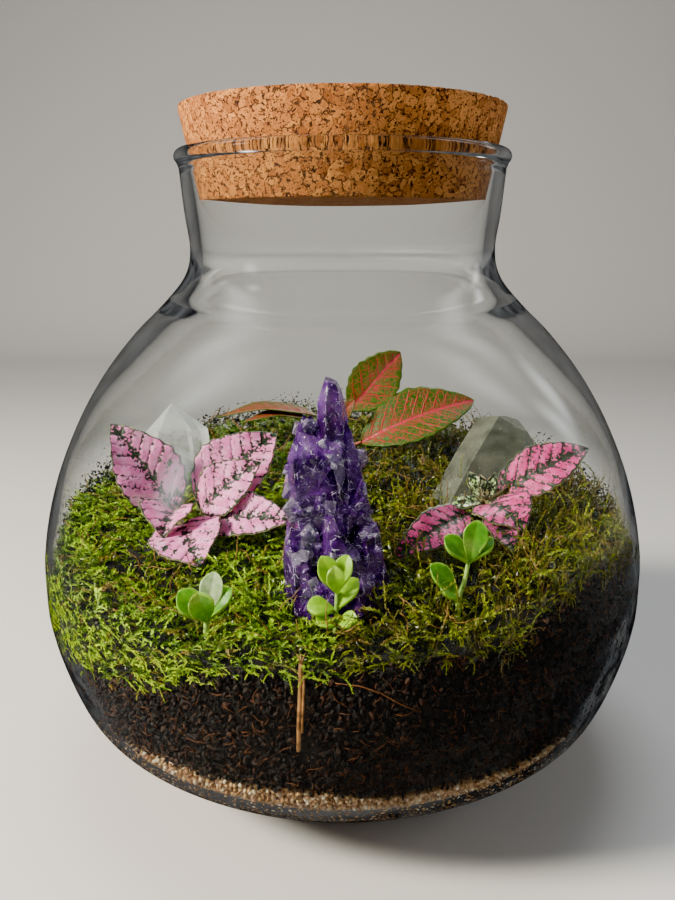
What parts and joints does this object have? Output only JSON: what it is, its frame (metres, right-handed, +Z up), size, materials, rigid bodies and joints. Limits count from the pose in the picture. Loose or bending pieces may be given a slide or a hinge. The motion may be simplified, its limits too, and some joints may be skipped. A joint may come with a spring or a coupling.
{
  "type": "glass plant terrarium",
  "caption": "Round glass jar with a short neck and cork stopper, filled with sand, soil and moss, and planted with leafy plants, sprouts and crystals.",
  "frame": {"origin": "middle of the flat base, on the surface that the jar stands on", "axes": "+Z up through the mouth, -Y towards the front that the picture shows, +X to its right"},
  "size_m": [0.2, 0.2, 0.2184],
  "materials": {
    "clear_glass": "blown, fire polished, clear",
    "cork": "pressed cork granules, sanded",
    "sand": "coarse loose grains",
    "soil": "crumbly peat with fibres",
    "moss": "feathery living moss",
    "amethyst": "broken and natural crystal faces",
    "clear_quartz": "cut and polished",
    "smoky_quartz": "cut and polished, cloudy inside",
    "pink_leaf": "soft leaf, pink with dark green blotches",
    "nerve_leaf": "soft leaf, green with red net veins",
    "fleshy_leaf": "smooth fleshy leaf",
    "dry_wood": "dry bark"
  },
  "bodies": {
    "root": {"jar": "clear_glass", "cork_stopper": "cork", "sand_layer": "sand", "soil_bed": "soil", "moss_front_left": "moss", "moss_front_right": "moss", "moss_back_left": "moss", "moss_back_right": "moss", "amethyst_tower": "amethyst", "quartz_clear": "clear_quartz", "quartz_smoky": "smoky_quartz", "polka_dot_left": "pink_leaf", "polka_dot_right": "pink_leaf", "nerve_plant": "nerve_leaf", "sprout_left": "fleshy_leaf", "sprout_middle": "fleshy_leaf", "sprout_right": "fleshy_leaf", "dry_twig": "dry_wood"}
  },
  "joints": []
}
